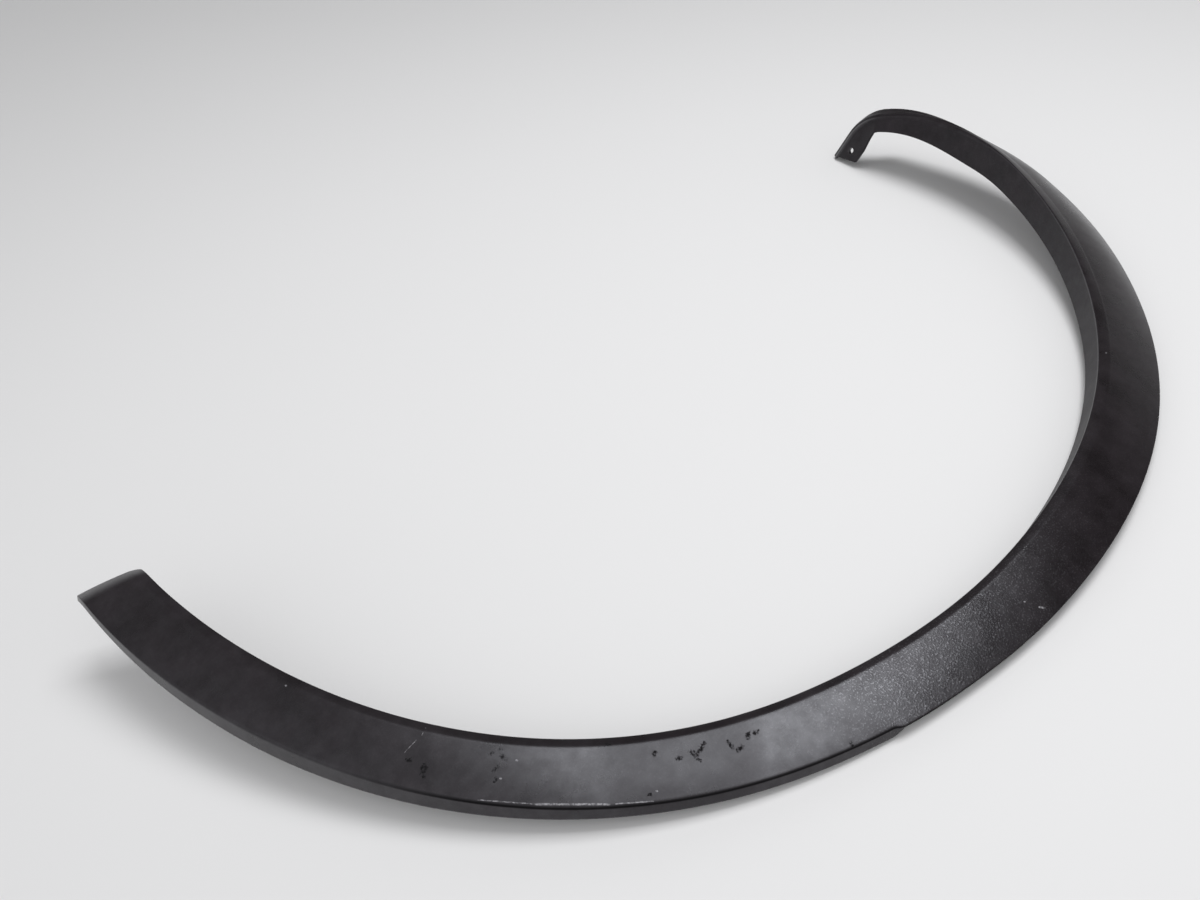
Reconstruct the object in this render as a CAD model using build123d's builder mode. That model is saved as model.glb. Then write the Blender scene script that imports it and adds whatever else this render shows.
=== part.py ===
"""Wheel arch trim: one black plastic moulding, lying face up as it rests on a table."""
import math
import os

from build123d import *

os.makedirs("parts", exist_ok=True)

# Driving dimensions, millimetres and degrees
arch_radius = 347.0        # wheel opening, measured to the crisp inner edge
edge_swell = 7.5           # how far the opening departs from a true circle, fading toward the foot
edge_wave = 2.15           # finer departure along the near arm
edge_bow = 70.0            # the arch bows up from its low point toward both ends
edge_ease = 16.5           # bow taken back along the far arm
foot_sag = 35.0            # the far arm droops into the foot
low_angle = 59.7           # angles run anticlockwise about the wheel centre
low_height = 13.6          # inner edge above the lowest point of the arch
skin = 2.6                 # moulding thickness
face_width = 33.7          # inner edge to outer edge, at the low point
face_spread = 7.0          # gain of face width toward the foot
face_drop = 6.4            # fall of the face from inner edge to outer edge, at the low point
face_drop_gain = 19.0      # extra fall toward both ends
face_bulge = 0.5           # crown of the face across its width
arm_narrowing = 0.22       # the face narrows by this share into the foot
arm_drop = 18.0            # fall of the face where the foot begins
bevel_width = 7.0          # strip between the face crease and the inner edge
bevel_rise = 0.5
bevel_tilt = 0.2           # share of the face's fall that the bevel takes up
arm_rise = 5.0             # the bevel swells to a soft roll where the foot begins
flange_depth = 14.3        # inner flange, turned toward the body
flange_depth_gain = 5.7
flange_trim = 12.4         # the flange narrows by this much into the foot
flange_lean = 4.7          # inward lean of the flange
wall_height = 6.6          # return wall along the outer edge, tip to step
wall_taper = 3.0           # the wall gets lower toward the step
wall_swell = 3.7           # extra height of the wall along the near arm
wall_lean = 1.0
tip_wall_height = 4.2
edge_overhang = 0.8        # how far the plain edge stands out past the return wall
tip_angle = 3.2
step_angle = 69.8
foot_angle = 178.25
tip_skew = 33.0            # slant of the cut at the tip
tip_roll = 4.6             # the face rolls down over the last stretch at the tip
tip_roll_length = 13.0
tip_corner = 10.0
curl_radius = 54.4         # the foot curls in under the sill
curl_fall = 59.7
foot_flange = 19.7
foot_length = 28.5
foot_face = 10.0
foot_drop = 1.0
slot_width = 4.0
slot_length = 6.4
slot_along = 8.0           # slot centre from the end of the curl
slot_across = 9.8          # slot centre from the inner edge
foot_slant = 12.0          # the flange end is cut on a slant
foot_hook = 4.0            # the face stands past the flange end by this much
seat_length = 24.0         # clip seats on the back of the face
seat_width = 15.0
seat_height = 7.5
seat_plate = 2.0
seat_slot = 7.0
seat_web = 1.0             # flat land left under the face inside each seat
seat_sink = 1.9            # how far below the outer skin each seat takes root
seat_angles = (17.0, 41.0, 92.0, 121.0, 148.0)
rest_pitch = -0.854        # small turns that settle the part on its resting points
rest_roll = -2.527


def rad(deg):
    return deg * math.pi / 180.0


def ease(x):
    x = min(max(x, 0.0), 1.0)
    return x * x * (3.0 - 2.0 * x)


def along(ang):
    return (ang - low_angle) / 100.0


def near_foot(ang):
    return ease((ang - foot_angle + 20.0) / 22.0)


def edge_radius(ang):
    swell = edge_swell * math.cos(2.88 * rad(ang - 42.0)) * (1.0 - ease((ang - 42.0) / 184.0))
    wave = edge_wave * math.sin(5.41 * rad(ang - 3.0)) * (1.0 - ease((ang - 55.0) / 30.0))
    return arch_radius + swell - wave


def edge_height(ang):
    bow = edge_bow * (1.0 - math.cos(rad(ang - low_angle))) - edge_ease * ease((ang - 89.0) / 49.0)
    sag = foot_sag * max(0.0, (ang - foot_angle + 23.7) / 23.7) ** 2
    return low_height + bow - sag


def width_at(ang):
    return (face_width + face_spread * along(ang)) * (1.0 - arm_narrowing * near_foot(ang))


def full_drop(ang):
    t = along(ang)
    return face_drop + 1.5 * t + face_drop_gain * t * t


def drop_at(ang):
    k = near_foot(ang)
    return full_drop(ang) * (1.0 - k) + arm_drop * k


def depth_at(ang):
    t = along(ang)
    trim = flange_trim * ease((ang - foot_angle + 17.0) / 19.0)
    return flange_depth + 0.8 * t + flange_depth_gain * t * t - trim


def rise_at(ang):
    k = ease((ang - foot_angle + 18.0) / 18.0)
    return (bevel_rise - bevel_tilt * (full_drop(ang) - face_drop)) * (1.0 - k) + arm_rise * k


def roll_at(ang):
    return 0.1 + 1.1 * ease((ang - foot_angle + 28.0) / 28.0)


def offset(pts, gap):
    # parallel line inside a chain of points, mitred at the corners
    out = []
    for i, p in enumerate(pts):
        a = pts[max(i - 1, 0)]
        b = pts[min(i + 1, len(pts) - 1)]
        d0 = (Vector(*p) - Vector(*a)) if i > 0 else (Vector(*b) - Vector(*p))
        d1 = (Vector(*b) - Vector(*p)) if i < len(pts) - 1 else d0
        n0 = Vector(-d0.Y, d0.X).normalized()
        n1 = Vector(-d1.Y, d1.X).normalized()
        m = (n0 + n1).normalized()
        q = Vector(*p) + m * (gap / max(m.dot(n0), 0.3))
        out.append((q.X, q.Y))
    return out


def bowed(p, q, bulge):
    mx, my = (p[0] + q[0]) / 2.0, (p[1] + q[1]) / 2.0
    dx, dy = q[0] - p[0], q[1] - p[1]
    size = math.hypot(dx, dy)
    return (mx + dy / size * bulge, my - dx / size * bulge)


def section(plane, width, drop, depth, rise, roll, wall=0.0, over=0.0):
    # closed outline of the thin moulding: face, bevel and flange, with the return wall where there is one
    crease = (bevel_width, rise)
    reach = 1.0 + over / math.hypot(width - bevel_width, drop + rise)
    outer = (bevel_width + (width - bevel_width) * reach, rise - (drop + rise) * reach)
    inner = (0.0, 0.0)
    foot = (-flange_lean, -depth)
    chain = [outer, crease, inner, foot]
    if wall:
        chain = [(width + wall_lean, -drop - wall)] + chain
    back = offset(chain, skin)
    shift = 1 if wall else 0
    with BuildSketch(plane) as sk:
        with BuildLine():
            if wall:
                Line(chain[0], chain[1])
            o, c, e, f = chain[shift:]
            ThreePointArc(o, bowed(o, c, face_bulge), c)
            ThreePointArc(c, bowed(c, e, roll), e)
            Line(e, f)
            Line(f, back[-1])
            bo, bc, be, bf = back[shift:]
            Line(bf, be)
            ThreePointArc(be, bowed(bc, be, roll), bc)
            ThreePointArc(bc, bowed(bo, bc, face_bulge), bo)
            if wall:
                Line(bo, back[0])
                Line(back[0], chain[0])
            else:
                Line(bo, o)
        make_face()
    return sk.sketch


def radial_plane(ang, skew=0.0, fall=0.0):
    r = edge_radius(ang)
    z = edge_height(ang) - fall
    aim = rad(ang - skew)
    out = Vector(math.cos(aim), math.sin(aim), 0.0)
    side = Vector(math.sin(aim), -math.cos(aim), 0.0)
    here = Vector(r * math.cos(rad(ang)), r * math.sin(rad(ang)), z)
    return Plane(origin=here, x_dir=out, z_dir=side)


def arch_section(ang, over=0.0, wall=0.0, skew=0.0, fall=0.0):
    lean = math.cos(rad(skew))
    reach = width_at(ang) / lean
    shift = ang - math.degrees(reach * math.sin(rad(skew)) / (edge_radius(ang) + reach))
    drop = drop_at(shift) + edge_height(ang) - edge_height(shift)
    plane = radial_plane(ang, skew, fall)
    return section(plane, reach, drop, depth_at(ang), rise_at(ang), roll_at(ang), wall, over)


def wall_at(ang):
    swell = wall_swell * ease((ang - 6.0) / 20.0) * (1.0 - ease((ang - 24.0) / 32.0))
    return wall_height - wall_taper * along(ang) + swell


def tip_part(ang):
    # slant, roll and wall height near the tip
    gone = (ang - tip_angle) * rad(1.0) * arch_radius
    skew = tip_skew * (1.0 - ease(gone / 160.0))
    fall = tip_roll * max(0.0, 1.0 - gone / tip_roll_length) ** 2
    wall = tip_wall_height + (wall_at(ang) - tip_wall_height) * ease(gone / 70.0)
    return arch_section(ang, wall=wall, skew=skew, fall=fall)


def spaced(first, last, count):
    return [first + (last - first) * i / (count - 1) for i in range(count)]


tip_end = tip_angle + math.degrees(1.4 * tip_roll_length / arch_radius)
tip_angles = spaced(tip_angle, tip_end, 5)
near_angles = spaced(tip_end, step_angle, 9)
far_angles = spaced(step_angle, foot_angle, 14)

# Curl of the foot: an arc that starts along the inner edge and falls toward the body
foot_start = radial_plane(foot_angle).origin
ahead = radial_plane(foot_angle + 0.01).origin - foot_start
level = Vector(-math.sin(rad(foot_angle)), math.cos(rad(foot_angle)), 0.0)
up = Vector(0.0, 0.0, 1.0)
start_slope = math.atan2(ahead.Z, math.hypot(ahead.X, ahead.Y))
turn = rad(curl_fall) + start_slope
out_dir = Vector(math.cos(rad(foot_angle)), math.sin(rad(foot_angle)), 0.0)
arm_depth = depth_at(foot_angle)
ratio = (curl_radius - foot_flange) / (curl_radius - arm_depth)
knee = math.atan2(ratio - math.cos(turn), math.sin(turn))


def curl_plane(angle, run=0.0):
    s0 = start_slope
    s1 = start_slope - angle
    x = curl_radius * (math.sin(s0) - math.sin(s1)) + run * math.cos(s1)
    z = curl_radius * (math.cos(s1) - math.cos(s0)) + run * math.sin(s1)
    tilt = s1 - start_slope * (1.0 - angle / turn)
    heading = level * math.cos(tilt) + up * math.sin(tilt)
    return Plane(origin=foot_start + level * x + up * z, x_dir=out_dir, z_dir=heading * -1.0)


def curl_section(angle, run=0.0):
    k = ease(angle / turn)
    first = curl_radius - (curl_radius - arm_depth) / math.cos(angle)
    second = curl_radius - (curl_radius - foot_flange) / math.cos(turn - angle)
    depth = max(first, second)
    width = width_at(foot_angle) * (1.0 - k) + foot_face * k
    drop = drop_at(foot_angle) * (1.0 - k) + foot_drop * k
    rise = rise_at(foot_angle) * (1.0 - 0.4 * k)
    return section(curl_plane(angle, run), width, drop, depth, rise, roll_at(foot_angle))


def seat_point(ang):
    # middle of the face on its outer skin
    base = radial_plane(ang)
    p = Vector(bevel_width, rise_at(ang))
    q = Vector(width_at(ang), -drop_at(ang))
    run = (q - p).normalized()
    mid = p + (q - p) * 0.5 + Vector(-run.Y, run.X) * face_bulge
    return base.from_local_coords(mid), base.x_dir * run.X + base.y_dir * run.Y


def seat_plane(ang):
    # plane inside the skin, square to the face, looking toward the body
    here, slope = seat_point(ang)
    course = seat_point(ang + 1.0)[0] - seat_point(ang - 1.0)[0]
    outward = slope.cross(course).normalized()
    return Plane(origin=here - outward * seat_sink, x_dir=slope, z_dir=outward * -1.0)


seat_planes = [seat_plane(a) for a in seat_angles]
seat_top = skin - seat_sink + seat_height
foot_plane = curl_plane(turn)
foot_side = Plane(origin=foot_plane.origin, x_dir=foot_plane.z_dir * -1.0, z_dir=out_dir)
tip_plane = radial_plane(tip_angle, tip_skew)
tip_floor = Plane(origin=(tip_plane.origin.X, tip_plane.origin.Y, 0.0), x_dir=tip_plane.x_dir, z_dir=(0, 0, 1))

with BuildPart() as trim:
    loft([tip_part(a) for a in tip_angles])
    loft([tip_part(a) for a in near_angles])
    loft([arch_section(a, over=edge_overhang * (1.0 - ease((a - foot_angle + 28.0) / 25.0))) for a in far_angles])
    loft([curl_section(knee * s) for s in (0.0, 0.34, 0.67, 1.0)])
    loft([curl_section(knee + (turn - knee) * s) for s in (0.0, 0.25, 0.5, 0.75, 1.0)])
    loft([curl_section(turn), curl_section(turn, foot_length)])

    # inner corner of the tip, rounded in plan
    with BuildSketch(tip_floor) as corner:
        with BuildLine():
            open_angle = rad(90.0 + tip_skew)
            reach = tip_corner / math.tan(open_angle / 2.0)
            p0 = (reach, 0.0)
            p1 = (-reach * math.sin(rad(tip_skew)), reach * math.cos(rad(tip_skew)))
            far = math.hypot(reach, tip_corner)
            near = 1.0 - tip_corner / far
            pm = (reach * near, tip_corner * near)
            ThreePointArc(p0, pm, p1)
            Line(p1, (p1[0] - 20.0, p1[1]))
            Line((p1[0] - 20.0, p1[1]), (p1[0] - 20.0, -5.0))
            Line((p1[0] - 20.0, -5.0), (reach, -5.0))
            Line((reach, -5.0), p0)
        make_face()
    extrude(amount=200.0, both=True, mode=Mode.SUBTRACT)

    # slanted end of the foot flange, leaving the face a little longer
    with BuildSketch(foot_side.offset(3.4)) as slant:
        with BuildLine():
            Polyline(
                (foot_length - foot_hook, -1.6),
                (foot_length - foot_hook - foot_slant, -foot_flange - 2.0),
                (foot_length + 20.0, -foot_flange - 2.0),
                (foot_length + 20.0, -1.6),
                close=True,
            )
        make_face()
    extrude(amount=-30.0, mode=Mode.SUBTRACT)

    # fixing slot through the foot flange
    with BuildSketch(foot_side) as slot:
        with Locations((slot_along, -slot_across)):
            SlotOverall(slot_length, slot_width)
    extrude(amount=-15.0, both=True, mode=Mode.SUBTRACT)

    # clip seats: a plate held off the back of the face by two walls, with an open slot for the clip neck
    with BuildSketch(*seat_planes):
        Rectangle(seat_width, seat_length)
    extrude(amount=seat_top)
    with BuildSketch(*[p.offset(skin - seat_sink + seat_web) for p in seat_planes]):
        Rectangle(seat_width - 2.0 * seat_plate, seat_length + 2.0)
    extrude(amount=seat_height - seat_plate - seat_web, mode=Mode.SUBTRACT)
    with BuildSketch(*[p.offset(seat_top - seat_plate - 0.1) for p in seat_planes]):
        Circle(seat_slot / 2.0)
        with Locations((0.0, seat_length / 4.0)):
            Rectangle(seat_slot, seat_length / 2.0 + 2.0)
    extrude(amount=seat_plate + 1.0, mode=Mode.SUBTRACT)

# laid down as it rests, standing on the middle of its footprint
turned = Rot(rest_pitch, rest_roll, 0.0) * trim.part
foot_print = turned.bounding_box()
middle = (foot_print.min + foot_print.max) * 0.5

with BuildPart() as wheel_arch_trim:
    add(Pos(-middle.X, -middle.Y, -foot_print.min.Z) * turned)

wheel_arch_trim.part.label = "wheel_arch_trim"
export_step(wheel_arch_trim.part, "parts/wheel_arch_trim.step")
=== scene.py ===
"""Wheel arch trim: one worn black plastic moulding, lying face up on a pale table."""
import math

import bmesh
import bpy
from bpy.props import FloatProperty, FloatVectorProperty, PointerProperty
from mathutils import Euler, Matrix, Vector


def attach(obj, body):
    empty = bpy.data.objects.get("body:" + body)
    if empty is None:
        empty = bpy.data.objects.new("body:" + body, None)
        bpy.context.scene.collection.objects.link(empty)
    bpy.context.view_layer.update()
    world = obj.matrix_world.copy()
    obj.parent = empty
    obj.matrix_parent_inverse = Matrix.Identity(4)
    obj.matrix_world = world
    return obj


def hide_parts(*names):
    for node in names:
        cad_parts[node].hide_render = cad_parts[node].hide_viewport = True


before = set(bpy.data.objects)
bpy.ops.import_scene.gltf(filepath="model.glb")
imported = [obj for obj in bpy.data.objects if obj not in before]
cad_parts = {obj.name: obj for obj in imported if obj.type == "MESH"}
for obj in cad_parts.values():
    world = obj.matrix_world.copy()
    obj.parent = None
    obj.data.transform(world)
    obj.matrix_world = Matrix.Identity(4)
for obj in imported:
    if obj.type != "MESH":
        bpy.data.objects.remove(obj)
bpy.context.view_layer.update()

bl_info = {
    "name": "Wheel Arch Trim",
    "version": (1, 0, 0),
    "blender": (4, 5, 0),
    "location": "3D View > Sidebar > Arch Trim",
    "description": "Builds a worn black wheel arch trim and the table it lies on",
    "category": "Object",
}

NODE = "wheel_arch_trim"
BODY = "root"
PLASTIC = "Moulded polypropylene, satin black"
MM = 0.001

# Where the wheel centre lies in the frame, and the small turns that settle the trim on the table
WHEEL_CENTRE = Vector((4.3903, -171.0305, 0.1444))
REST_TURN = Matrix.Rotation(math.radians(-0.854), 3, "X") @ Matrix.Rotation(math.radians(-2.527), 3, "Y")


def linear(hex_colour):
    """sRGB hex to linear red, green and blue."""
    out = []
    for i in (1, 3, 5):
        c = int(hex_colour[i:i + 2], 16) / 255.0
        out.append(c / 12.92 if c <= 0.04045 else ((c + 0.055) / 1.055) ** 2.4)
    return tuple(out)


def size(name, what, mm):
    """A length, given in millimetres and kept in metres."""
    return FloatProperty(name=name, description=what, default=mm * MM, min=0.0, unit="LENGTH", precision=5)


def paint(name, what, hex_colour):
    """A colour."""
    return FloatVectorProperty(
        name=name, description=what, default=linear(hex_colour), subtype="COLOR", min=0.0, max=1.0
    )


def brightness(name, what, value):
    """A level of light on the stage."""
    return FloatProperty(name=name, description=what, default=value, min=0.0)


class TrimSizes(bpy.types.PropertyGroup):
    """Sizes of the moulding"""
    arch_radius: size("Arch radius", "Wheel opening, to the crisp inner edge", 347.0)
    skin: size("Skin", "Thickness of the moulding", 2.6)
    face_width: size("Face width", "Inner edge to outer edge at the low point", 33.7)
    face_drop: size("Face drop", "Fall of the face at the low point", 6.4)
    bevel_width: size("Bevel width", "Strip beside the inner edge", 7.0)
    flange_depth: size("Flange depth", "Inner flange at the low point", 14.3)
    wall_height: size("Wall height", "Return wall at the low point", 6.6)
    edge_round: size("Edge round", "Radius of the crisp edges", 0.55)
    seat_length: size("Seat length", "Clip seat along the arch", 24.0)
    seat_width: size("Seat width", "Clip seat across the face", 15.0)
    seat_height: size("Seat height", "Clip seat off the back of the face", 7.5)
    seat_slot: size("Seat slot", "Neck slot of a clip seat", 7.0)


class TrimFinish(bpy.types.PropertyGroup):
    """Colours of the plastic"""
    black: paint("Black", "Moulded black plastic", "#161214")
    faded: paint("Faded", "Where the black has weathered", "#201b1e")
    worn: paint("Worn", "Rubbed spots and pale scratches", "#8d8c90")
    sheen: paint("Sheen", "Tint of the sheen on the plastic", "#f5f7ff")
    # this dark colour serves the real scuffs and also paints shade along the thin outer edge
    scuffs_and_edge_shade: paint("Scuffed", "Dark scuffs and the dark outer edge", "#0d0c0d")


class TrimStage(bpy.types.PropertyGroup):
    """Table, lamp and room"""
    table: paint("Table", "Colour of the table under the trim", "#d8d8d9")
    # the table turns darker away from the trim: painted shade where the lamp's light falls off
    table_far_shaded: paint("Table far off", "Colour of the table away from the trim", "#d1d1d2")
    lamp_radiance: brightness("Lamp", "Brightness of the long lamp overhead", 7.9)
    lamp_length: size("Lamp length", "Long side of the lamp overhead", 880.0)
    lamp_width: size("Lamp width", "Short side of the lamp overhead", 750.0)
    room_light: brightness("Room", "Light of the room beyond the table", 0.16)
    room_front: brightness("Front", "Light of the room on the camera's side", 1.15)
    room_dark: brightness("Dark corner", "Share of light in the room's dark corner", 0.12)
    room_seen: brightness("Backdrop", "How pale the room looks past the table", 0.62)
    room_side: brightness("Side", "Light of the room low beyond the two ends", 1.0)


# Angles run anticlockwise about the wheel centre, in degrees; lengths below are in millimetres
TIP_ANGLE, STEP_ANGLE, FOOT_ANGLE, LOW_ANGLE = 3.2, 69.8, 178.25, 59.7
EDGE_SWELL, SWELL_RATE, EDGE_WAVE, WAVE_RATE, WAVE_START = 7.5, 2.88, 2.15, 5.41, 3.0
EDGE_BOW, EDGE_EASE, FOOT_SAG, SAG_LENGTH, LOW_HEIGHT = 70.0, 16.5, 35.0, 23.7, 13.6
FACE_SPREAD, FACE_DROP_LEAN, FACE_DROP_GAIN = 7.0, 1.5, 19.0
FACE_BULGE, FAR_BULGE, ROLL_BULGE, FOOT_BULGE = 0.5, 1.4, 0.1, 1.1
ARM_NARROWING, ARM_DROP, ARM_RISE = 0.22, 18.0, 6.8
BEVEL_RISE, BEVEL_TILT, NEAR_BEVEL, BEVEL_LOSS = 0.5, 0.2, 0.74, 0.08
FLANGE_TILT, FLANGE_GAIN, FLANGE_TRIM, FLANGE_LEAN, FLANGE_SWELL = 0.8, 5.7, 12.4, 4.7, 2.2
WALL_TAPER, WALL_SWELL, WALL_LEAN, TIP_WALL, TIP_WALL_LENGTH = 3.0, 3.7, 1.0, 4.2, 70.0
EDGE_OVERHANG, STEP_OVERHANG, STEP_ROUND, STEP_LEAD = 0.8, 0.9, 5.0, 3.2
TIP_SKEW, SKEW_LENGTH, TIP_CORNER, CORNER_LENGTH = 33.0, 160.0, 10.0, 16.0
TIP_ROLL, TIP_ROLL_LENGTH = 4.6, 13.0
CURL_RADIUS, CURL_FALL = 54.4, math.radians(59.7)
FOOT_FLANGE, FOOT_LENGTH, FOOT_FACE, FOOT_DROP, FOOT_FLATTENING = 19.7, 28.5, 10.0, 1.0, 0.4
FOOT_SLANT, FOOT_HOOK, HOOK_WIDTH, HOOK_DEPTH, SLANT_DEPTH = 14.2, 4.0, 3.4, 1.6, 20.1
SLOT_WIDTH, SLOT_LENGTH, SLOT_ALONG, SLOT_ACROSS = 4.0, 6.4, 8.0, 9.8
SEAT_PLATE, SEAT_WEB, SEAT_SINK, SEAT_CLEARANCE = 2.0, 1.0, 1.9, 2.0
SEAT_ANGLES = (17.0, 41.0, 92.0, 121.0, 148.0)

# Where along the arch the form changes, each from one angle to another
SWELL_FADE, WAVE_FADE, EASE_SPAN = (42.0, 226.0), (55.0, 85.0), (89.0, 138.0)
FLANGE_RISE, FLANGE_FADE = (112.0, 132.0), (160.0, 174.0)
BEVEL_NARROWS, BEVEL_WIDENS = (44.0, 58.0), (85.0, 110.0)
BULGE_RISE, BULGE_FADE = (118.0, 142.0), (154.0, 176.0)
WALL_RISE, WALL_FADE = (6.0, 26.0), (24.0, 56.0)
# the painted shade along the outer edge grows in over the second span
OVER_STEP, EDGE_SHADE_RISE = (STEP_ANGLE, STEP_ANGLE + 9.0), (26.0, 40.0)
ARM_END, FLANGE_END = (FOOT_ANGLE - 20.0, FOOT_ANGLE + 2.0), (FOOT_ANGLE - 17.0, FOOT_ANGLE + 2.0)
BEVEL_END, SOFT_END = (FOOT_ANGLE - 18.0, FOOT_ANGLE), (FOOT_ANGLE - 26.0, FOOT_ANGLE)
ROLL_END, OVER_END = (FOOT_ANGLE - 28.0, FOOT_ANGLE), (FOOT_ANGLE - 28.0, FOOT_ANGLE - 3.0)

# Radii of the section's softer corners: crease, inner edge at the foot, and three on the back
CREASE_ROUND, SOFT_ROUND, BACK_ROUNDS = 6.0, 5.0, (1.0, 4.0, 0.8)
# The least and the most of a side that a corner takes up, and how much a soft inner edge is built out
LEAST_CUT, MOST_CUT, SOFT_BUILD = 0.12, 0.4, 0.4
# How close to a corner the first point of a long run lies, and the most of the run that this may be
CORNER_GAP, CORNER_SHARE = 0.7, 0.3
# Sections along the tip, the near arm, the far arm, the two parts of the curl and the straight foot
TIP_ROWS, NEAR_ROWS, FAR_ROWS, KNEE_ROWS, CURL_ROWS, FOOT_ROWS = 20, 110, 190, 4, 22, 12
STEP_PARTS = (0.0, 0.3, 0.55, 0.75, 0.88, 0.96, 1.0)
ROUND_SIDES, SMOOTH_ANGLE = 32, math.radians(38.0)
# How far the tool for the foot slot reaches, inward and outward of the arch
SLOT_REACH = (-14.0, 9.0)


def ease(x):
    """Smooth step from 0 to 1."""
    x = min(max(x, 0.0), 1.0)
    return x * x * (3.0 - 2.0 * x)


def grown(ang, span):
    """Smooth step from 0 to 1 over a span of angles."""
    return ease((ang - span[0]) / (span[1] - span[0]))


def lerp(a, b, k):
    """From a to b by a share k."""
    return a + (b - a) * k


def parallel(points, gap):
    """Line beside a chain of points, mitred at its corners."""
    out = []
    last = len(points) - 1
    for i, p in enumerate(points):
        d1 = points[min(i + 1, last)] - p if i < last else p - points[i - 1]
        d0 = p - points[i - 1] if i else d1
        n0 = Vector((-d0.y, d0.x)).normalized()
        n1 = Vector((-d1.y, d1.x)).normalized()
        m = (n0 + n1).normalized()
        out.append(p + m * (gap / max(m.dot(n0), 0.3)))
    return out


class ArchShape:
    """The trim's form: where its section stands along the arch, and how the section looks there."""

    # the corners of the closed section are wall foot, outer edge, crease, inner edge, flange foot, and then
    # the same five on the back, from the flange foot to the wall foot
    OUTER, INNER, FLANGE_FOOT, WALL_FEET = 1, 3, 4, (0, 9)
    # points that round each corner, and points on the straight run after it
    ROUND_POINTS = (3, 4, 5, 5, 3, 3, 3, 3, 3, 3)
    RUN_POINTS = (4, 11, 4, 6, 1, 4, 1, 7, 1, 1)

    def __init__(self, sizes):
        self.radius = sizes.arch_radius / MM
        self.skin = sizes.skin / MM
        self.width = sizes.face_width / MM
        self.drop = sizes.face_drop / MM
        self.bevel = sizes.bevel_width / MM
        self.depth = sizes.flange_depth / MM
        self.wall = sizes.wall_height / MM
        self.edge = sizes.edge_round / MM
        start = self.edge_point(FOOT_ANGLE)
        ahead = self.edge_point(FOOT_ANGLE + 0.01) - start
        self.foot_start = start
        aim = math.radians(FOOT_ANGLE)
        self.level = Vector((-math.sin(aim), math.cos(aim), 0.0))
        self.foot_out = Vector((math.cos(aim), math.sin(aim), 0.0))
        self.slope = math.atan2(ahead.z, math.hypot(ahead.x, ahead.y))
        self.turn = CURL_FALL + self.slope
        self.arm_depth = self.depth_at(FOOT_ANGLE)
        ratio = (CURL_RADIUS - FOOT_FLANGE) / (CURL_RADIUS - self.arm_depth)
        self.knee = math.atan2(ratio - math.cos(self.turn), math.sin(self.turn))

    @staticmethod
    def along(ang):
        """How far along the arch from its low point, in hundreds of degrees."""
        return (ang - LOW_ANGLE) / 100.0

    def edge_radius(self, ang):
        """How far the inner edge lies from the wheel centre."""
        swell = EDGE_SWELL * math.cos(SWELL_RATE * math.radians(ang - SWELL_FADE[0]))
        wave = EDGE_WAVE * math.sin(WAVE_RATE * math.radians(ang - WAVE_START))
        return self.radius + swell * (1.0 - grown(ang, SWELL_FADE)) - wave * (1.0 - grown(ang, WAVE_FADE))

    @staticmethod
    def edge_height(ang):
        """How high the inner edge stands."""
        bow = EDGE_BOW * (1.0 - math.cos(math.radians(ang - LOW_ANGLE)))
        bow -= EDGE_EASE * grown(ang, EASE_SPAN)
        sag = FOOT_SAG * max(0.0, (ang - FOOT_ANGLE + SAG_LENGTH) / SAG_LENGTH) ** 2
        return LOW_HEIGHT + bow - sag

    def edge_point(self, ang):
        """A point of the inner edge."""
        r, a = self.edge_radius(ang), math.radians(ang)
        return Vector((r * math.cos(a), r * math.sin(a), self.edge_height(ang)))

    def width_at(self, ang):
        """Inner edge to outer edge."""
        return (self.width + FACE_SPREAD * self.along(ang)) * (1.0 - ARM_NARROWING * grown(ang, ARM_END))

    def full_drop(self, ang):
        """Fall of the face, without the foot."""
        t = self.along(ang)
        return self.drop + FACE_DROP_LEAN * t + FACE_DROP_GAIN * t * t

    def drop_at(self, ang):
        """Fall of the face from inner to outer edge."""
        return lerp(self.full_drop(ang), ARM_DROP, grown(ang, ARM_END))

    def depth_at(self, ang):
        """Depth of the inner flange."""
        t = self.along(ang)
        swell = FLANGE_SWELL * grown(ang, FLANGE_RISE) * (1.0 - grown(ang, FLANGE_FADE))
        trim = FLANGE_TRIM * grown(ang, FLANGE_END)
        return self.depth + FLANGE_TILT * t + FLANGE_GAIN * t * t + swell - trim

    def bevel_at(self, ang):
        """Width of the bevel: narrow along the near arm, full on the far one."""
        near = NEAR_BEVEL - BEVEL_LOSS * grown(ang, BEVEL_NARROWS)
        return self.bevel * lerp(near, 1.0, grown(ang, BEVEL_WIDENS))

    @staticmethod
    def bulge_at(ang):
        """How far the face stands proud of flat: most on the far arm."""
        return FACE_BULGE + FAR_BULGE * grown(ang, BULGE_RISE) * (1.0 - grown(ang, BULGE_FADE))

    def crease(self, width, drop, rise, bevel):
        """Where the bevel meets the face; a narrower bevel moves it up along the line of the face."""
        slope = (rise + drop) / (width - self.bevel)
        return Vector((bevel, rise + (self.bevel - bevel) * slope))

    def rise_at(self, ang):
        """How far the crease stands above the inner edge."""
        rise = BEVEL_RISE - BEVEL_TILT * (self.full_drop(ang) - self.drop)
        return lerp(rise, ARM_RISE, grown(ang, BEVEL_END))

    def corners(self, width, drop, depth, rise, bevel, wall, over, walled):
        """Ten corners of the closed section, from the wall's foot over the face and round the back."""
        crease = self.crease(width, drop, rise, bevel)
        outer = Vector((width, -drop))
        inner = Vector((0.0, 0.0))
        foot = Vector((-FLANGE_LEAN, -depth))
        reach = (outer - crease).normalized() * over
        plain = [outer + reach, crease, inner, foot]
        back = parallel(plain, self.skin)
        loop = plain + back[::-1]
        # without a wall, its two feet lie on the plain edge, a third of the skin from each side
        loop = [lerp(loop[0], loop[-1], 0.33)] + loop + [lerp(loop[0], loop[-1], 0.67)]
        if walled <= 0.0:
            return loop
        chain = [Vector((width + WALL_LEAN, -drop - wall)), outer + reach, crease, inner, foot]
        full = chain + parallel(chain, self.skin)[::-1]
        return [lerp(a, b, walled) for a, b in zip(loop, full)]

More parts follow.
